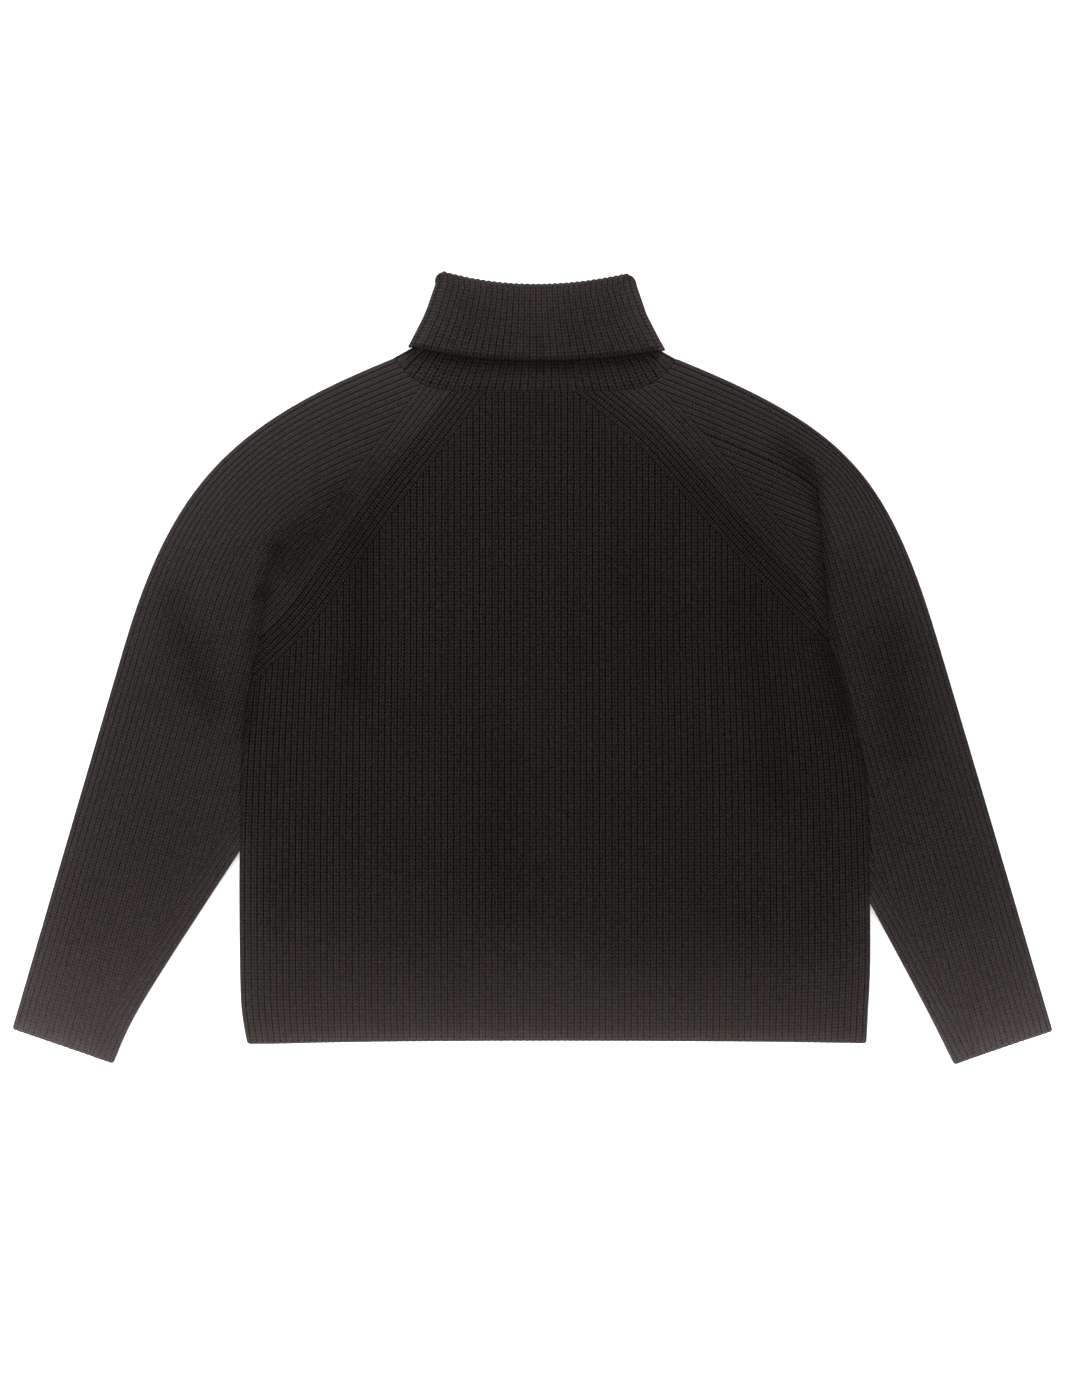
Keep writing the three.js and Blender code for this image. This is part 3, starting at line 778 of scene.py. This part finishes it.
def collarPiece():
    share, turn, across = collarRing().T
    turn = turn * math.pi
    rib = ribShape(np.append(across[:-1], 0)) * np.where(turn > 3, 0.25, 1)
    rightHalf = share < 0.5
    outward = np.where(rightHalf, -1, 1) * np.sin(turn)
    rows, courses = [], []
    length, before = 0, None
    for low, high, part, out, ribPart, lift in collarSection():
        middle = collarPoint(low, 0.5, False) * (1 - part) + collarPoint(high, 0.5, False) * part
        middle = middle + [0, 0, out]
        length += 0 if before is None else np.linalg.norm(middle - before)
        before = middle
        start, end = collarPoint(low, share, turn > 1.6), collarPoint(high, share, turn > 1.6)
        place = start + (end - start) * part
        reach = collar["halfGap"] + out + collar["rise"] * rib * ribPart
        if out > 4 and ribPart == 1:
            reach = reach - collar["ripple"] * np.sin(share * math.pi * 5 + length / 14)
        up = -collar["tipScallop"] * rib * part if high == "edgeTip" else collar["rise"] * rib * lift
        nearFold = 1 if high == "fold" else part * (high == "inside") + (1 - part) * (low == "inside")
        toCorner = collar["width"] * np.where(rightHalf, share, 1 - share) + reach * (1 - np.sin(turn))
        up = up - nearFold * rounded(toCorner, np.where(rightHalf, *collar["foldCorners"]))
        z = np.maximum(place[2] + reach * np.cos(turn), lay["tableGap"])
        rows.append(np.stack([place[0] + outward * reach, place[1] + up, z], -1))
        courses.append(np.stack([across, np.full_like(across, length / courseHeight)], -1))
    rows.append(rows[0])
    courses.append(courses[0] + [0, (length + 2) / courseHeight])
    points, counts = np.array(rows).transpose(1, 0, 2), np.array(courses).transpose(1, 0, 2)
    return clothGrid("collarCloth", points, counts, 0, wrap=True)


collarCloth = collarPiece()
print("collar:", len(collarCloth.data.polygons), "faces")

# Knit: colour of the yarn; how much stitches and ribs lighten it, less an offset (painted shade in grooves
# and between stitches);
# and how much paler it is painted at outer edges, toward hem or cuff, toward the sides and at the shoulders
# (painted highlights)
bodyKnit = {
    "colour": (0.0160, 0.0128, 0.0104),
    "contrast": (1.15, 0.53, 0.305),
    "edge": 0.5,
    "foot": 1.14,
    "wide": 0.05,
    "shoulder": 0.54,
}
knit = {
    "frontCloth": bodyKnit,
    "backCloth": bodyKnit,
    "sleeveRightCloth": {
        "colour": (0.0178, 0.0145, 0.0127),
        "contrast": (0.95, 0.08, -0.17),
        "edge": 0.5,
        "foot": 0.55,
        "wide": 0.44,
        "shoulder": 0.54,
    },
    "sleeveLeftCloth": {
        "colour": (0.0178, 0.0145, 0.0127),
        "contrast": (0.95, 0.24, -0.03),
        "edge": 0.5,
        "foot": 1.02,
        "wide": 0.43,
        "shoulder": 0.44,
    },
    "collarCloth": {
        "colour": (0.0178, 0.0145, 0.0127),
        "contrast": (0.9, 0.35, 0.02),
        "edge": 0.56,
        "foot": 0,
        "wide": 0.3,
        "shoulder": 0,
    },
}

# Yarn and stitches; a noise is scale, detail, roughness and how much it counts
yarn = {
    "lean": 1.3,  # of the two legs of a stitch
    "split": 0.09,  # share of a rib between the legs
    "waver": (260, 1, 0.5, 0.5),  # unevenness of the stitches
    "stitchHeight": 0.8,
    "fuzz": (1500, 2, 0.65, 0.55),
    "bump": 0.0016,
    "mottle": (420, 3, 0.5, 0.9),  # lighter and darker wool, fine and broad
    "broad": (7, 2, 0.5, 0.12),
    "darkest": 0.1,  # times the colour
    "palest": 2.3,
    "paintedSheen": (1.05, 1.13, 1.34),  # the colour of the painted sheen on the paler parts, likewise
    "surface": {
        "Roughness": 0.92,
        "Specular IOR Level": 0.02,
        "Sheen Weight": 0.012,
        "Sheen Roughness": 0.45,
        "Sheen Tint": (0.9, 0.88, 0.87, 1),
    },
}


def knitMaterial(name, colour, contrast):
    material = bpy.data.materials.new(name)
    material.use_nodes = True
    nodes, links = material.node_tree.nodes, material.node_tree.links
    shader = nodes["Principled BSDF"]

    def node(kind, **values):
        made = nodes.new(kind)
        for key, value in values.items():
            setattr(made, key, value)
        return made

    def calculate(operation, *values, clamp=False):
        made = node("ShaderNodeMath", operation=operation, use_clamp=clamp)
        for socket, value in zip(made.inputs, values):
            if isinstance(value, (int, float)):
                socket.default_value = value
            else:
                links.new(value, socket)
        return made.outputs[0]

    place = node("ShaderNodeTexCoord").outputs["Object"]

    def noise(kind, middle=0.0):  # counted from its middle
        scale, detail, roughness, much = yarn[kind]
        made = node("ShaderNodeTexNoise", noise_dimensions="3D")
        made.inputs["Scale"].default_value = scale
        made.inputs["Detail"].default_value = detail
        made.inputs["Roughness"].default_value = roughness
        links.new(place, made.inputs["Vector"])
        return calculate("MULTIPLY", calculate("SUBTRACT", made.outputs["Fac"], middle), much)

    # each rib is a column of stitches, two legs meeting in a V
    split = node("ShaderNodeSeparateXYZ")
    links.new(node("ShaderNodeUVMap", uv_map="ribs").outputs[0], split.inputs[0])
    across = calculate("ABSOLUTE", calculate("SUBTRACT", calculate("FRACT", split.outputs[0]), 0.5))
    slant = calculate("SUBTRACT", split.outputs[1], calculate("MULTIPLY", across, yarn["lean"]))
    slant = calculate("MULTIPLY", calculate("ADD", slant, noise("waver")), 2 * math.pi)
    legs = calculate("MULTIPLY", calculate("ADD", calculate("SINE", slant), 1), 0.5)
    apart = calculate("SMOOTH_MIN", across, yarn["split"])
    apart = calculate("MULTIPLY", apart, 11, clamp=True)
    crest = calculate("SUBTRACT", 1, calculate("POWER", calculate("MULTIPLY", across, 2), 3))
    stitch = calculate("MULTIPLY", calculate("MULTIPLY", legs, apart), crest)
    bump = node("ShaderNodeBump")
    bump.inputs["Strength"].default_value = 1
    bump.inputs["Distance"].default_value = yarn["bump"]
    height = calculate("ADD", calculate("MULTIPLY", stitch, yarn["stitchHeight"]), noise("fuzz"))
    links.new(height, bump.inputs["Height"])
    links.new(bump.outputs[0], shader.inputs["Normal"])

    # painted shade: darker in the grooves and between stitches, mottled like wool
    byStitch, byRib, offset = contrast
    shade = calculate("ADD", calculate("MULTIPLY", stitch, byStitch), calculate("MULTIPLY", crest, byRib))
    shade = calculate("ADD", calculate("SUBTRACT", shade, offset), noise("mottle", 0.5))
    shade = calculate("ADD", shade, noise("broad", 0.5))
    ramp = node("ShaderNodeValToRGB")
    for element, factor in zip(ramp.color_ramp.elements, (yarn["darkest"], yarn["palest"])):
        element.color = (*[c * factor for c in colour], 1)
    links.new(shade, ramp.inputs[0])

    # the painted light darkens it below 1 with painted shade and adds a pale painted sheen above
    paintedLight = node("ShaderNodeAttribute", attribute_name="paintedLight").outputs["Fac"]
    darker = node("ShaderNodeVectorMath", operation="SCALE")
    links.new(ramp.outputs[0], darker.inputs[0])
    links.new(calculate("MINIMUM", paintedLight, 1), darker.inputs["Scale"])
    paler = node("ShaderNodeVectorMath", operation="SCALE")
    paler.inputs[0].default_value = [c * factor for c, factor in zip(colour, yarn["paintedSheen"])]
    links.new(calculate("MAXIMUM", calculate("SUBTRACT", paintedLight, 1), 0), paler.inputs["Scale"])
    both = node("ShaderNodeVectorMath", operation="ADD")
    links.new(darker.outputs[0], both.inputs[0])
    links.new(paler.outputs[0], both.inputs[1])
    links.new(both.outputs[0], shader.inputs["Base Color"])
    for key, value in yarn["surface"].items():
        shader.inputs[key].default_value = value
    return material


# Painted light and shade: painted highlights where it looks paler, painted shade and shadow where it is
# darker
paintedLight = {
    "edgeReach": 14,
    "foot": (-170, 190),  # the y from which it grows, and over what length
    "shoulder": (10, 120),
    "shoulderReach": 80,
    "wide": 460,
    "left": (0.1, 200),  # painted shade: how much darker the left side is, and the x from which it is so fully
    "underCollar": (0.48, 17),  # painted shadow under the turned-over collar: how much darker it is there, and how far down
    "collarWidth": 116,  # half of it
    "trough": (0.28, 1.7),  # painted shade in creases: how much darker a crease is, and the depth from which it is so fully
}
outline = [edges[0], collarPoint("fold", np.linspace(0, 1, 30), False)[:2].T]
for side in sides.values():
    flank = side["bodyLine"][side["bodyLine"][:, 1] < side["underarmSeam"][0][1]]
    outline += [side["foldLine"], side["seamLine"], side["cuffLine"], flank]
for end in (0, 1):
    outline.append(np.array([collarLines[key][end][:2] for key in ("seam", "edge", "middle", "turned")]))


# painted highlights at edges, hem, cuffs, sides and shoulders; painted shade on the left, under the collar,
# in creases
def paintLightAndShade(cloth):
    mesh = cloth.data
    paler = knit[cloth.name]
    x, y = vertexPlaces(mesh)[:, :2].T * 1000
    edge = np.min([distanceTo(line, x, y) for line in outline], axis=0)
    foot = np.clip((paintedLight["foot"][0] - y) / paintedLight["foot"][1], 0, 1) ** 2
    fold = np.min([distanceTo(side["foldLine"], x, y) for side in sides.values()], axis=0)
    shoulder = np.clip((y - paintedLight["shoulder"][0]) / paintedLight["shoulder"][1], 0, 1)
    shoulder = shoulder * np.exp(-((fold / paintedLight["shoulderReach"]) ** 4))
    value = 1 + paler["edge"] * np.exp(-edge / paintedLight["edgeReach"])
    value = value + paler["foot"] * foot + paler["shoulder"] * shoulder
    value = value + paler["wide"] * np.clip(np.abs(x) / paintedLight["wide"], 0, 1) ** 2
    # painted shade on the left side
    share, over = paintedLight["left"]
    value = value * (1 - share * np.clip(x / over, 0, 1))
    # painted shadow below the turned-over collar's edge
    turned = collarPoint("edge", np.linspace(0, 1, 40), False)
    below = np.interp(x, turned[0], turned[1]) - y
    share, over = paintedLight["underCollar"]
    under = (below > 0) * (np.abs(x) < paintedLight["collarWidth"])
    value = value * (1 - share * np.exp(-((below / over) ** 2)) * under)
    # painted shade along the creases
    share, over = paintedLight["trough"]
    for line, depth, halfWidth in creases:
        away = distanceTo(np.array(line, float), x, y) / halfWidth
        value = value * (1 - share * min(1, depth / over) * np.exp(-(away**2)))
    mesh.attributes.new("paintedLight", "FLOAT", "POINT").data.foreach_set("value", value.astype(np.float32))


pieces = {
    "front": (frontCloth, "knit_body", (0.580, 0.600), 0.281, ["back"]),
    "back": (backCloth, "knit_body", (0.580, 0.622), 0.290, []),
    "sleeve_right": (sleeveRight, "knit_sleeves", (0.322, 0.700), 0.150, []),
    "sleeve_left": (sleeveLeft, "knit_sleeves", (0.260, 0.700), 0.130, []),
    "collar": (collarCloth, "knit_collar", (0.520, 0.166), 0.075, []),
}
for node, (cloth, slotName, flat, area, under) in pieces.items():
    paintLightAndShade(cloth)
    cloth.data.materials.clear()
    made = knit[cloth.name]
    cloth.data.materials.append(knitMaterial("knit_" + node, made["colour"], made["contrast"]))
    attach(cloth, "root")
    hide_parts(node)
print("knit on", len(pieces), "pieces")

# Table, light and camera
tableTop = {
    "Base Color": (0.9, 0.9, 0.9, 1),
    "Roughness": 1,
    "Specular IOR Level": 0,
    "Emission Color": (1, 1, 1, 1),
    "Emission Strength": 0.25,
}
bpy.ops.object.select_all(action="DESELECT")
bpy.ops.mesh.primitive_plane_add(size=14, location=(0, 0, -0.0004))
table = bpy.context.object
table.name = "table"
paper = bpy.data.materials.new("white_table")
paper.use_nodes = True
for key, value in tableTop.items():
    paper.node_tree.nodes["Principled BSDF"].inputs[key].default_value = value
table.data.materials.append(paper)

lamps = [
    # x, y, z, width, height, power: soft boxes, all aimed at the middle of the sweater
    ("overhead", -0.6, 0.7, 2.6, 1.6, 1.6, 8),
    ("leftBox", -0.62, 0.0, 0.22, 0.15, 1.5, 2.5),
    ("rightBox", 0.62, 0.0, 0.22, 0.15, 1.5, 1.0),
    ("leftLow", -0.6, -0.42, 0.14, 0.12, 0.5, 2.3),
    ("rightLow", 0.6, -0.42, 0.14, 0.12, 0.5, 1.5),
    ("footBox", 0.0, -0.74, 0.1, 1.4, 0.08, 10.8),
    ("headBox", 0.0, 0.7, 0.22, 1.4, 0.2, 7.4),
]
for name, x, y, z, width, height, power in lamps:
    bpy.ops.object.light_add(type="AREA", location=(x, y, z))
    lamp = bpy.context.object
    lamp.name = name
    lamp.data.shape = "RECTANGLE"
    lamp.data.size, lamp.data.size_y = width, height
    lamp.data.energy = power
    aim = Vector((0, 0, 0)) - lamp.location
    lamp.rotation_euler = aim.to_track_quat("-Z", "Y").to_euler()

world = bpy.data.worlds.new("studio")
bpy.context.scene.world = world
world.use_nodes = True
sky = world.node_tree.nodes["Background"]
sky.inputs["Color"].default_value = (1, 1, 1, 1)
sky.inputs["Strength"].default_value = 0.62
bpy.context.scene.view_settings.view_transform = "Standard"
print("table and", len(lamps), "lamps")

shot = {
    "picture": (1080, 1378),
    "origin": (532, 667),  # the pixel of it at which the frame's origin lies
    "scale": 0.92,  # mm to a pixel, at level m above the table
    "level": 0.006,
    "distance": 3.2,
}
aside = (shot["picture"][0] / 2 - shot["origin"][0]) * shot["scale"] / 1000
above = (shot["origin"][1] - shot["picture"][1] / 2) * shot["scale"] / 1000
bpy.ops.object.camera_add(location=(aside, above, shot["distance"]), rotation=(0, 0, 0))
camera = bpy.context.object
tall = shot["picture"][1] * shot["scale"] / 1000
camera.data.lens = 36 * (shot["distance"] - shot["level"]) / tall
camera.data.clip_end = 20
bpy.context.scene.camera = camera
print("camera lens", round(camera.data.lens, 2))
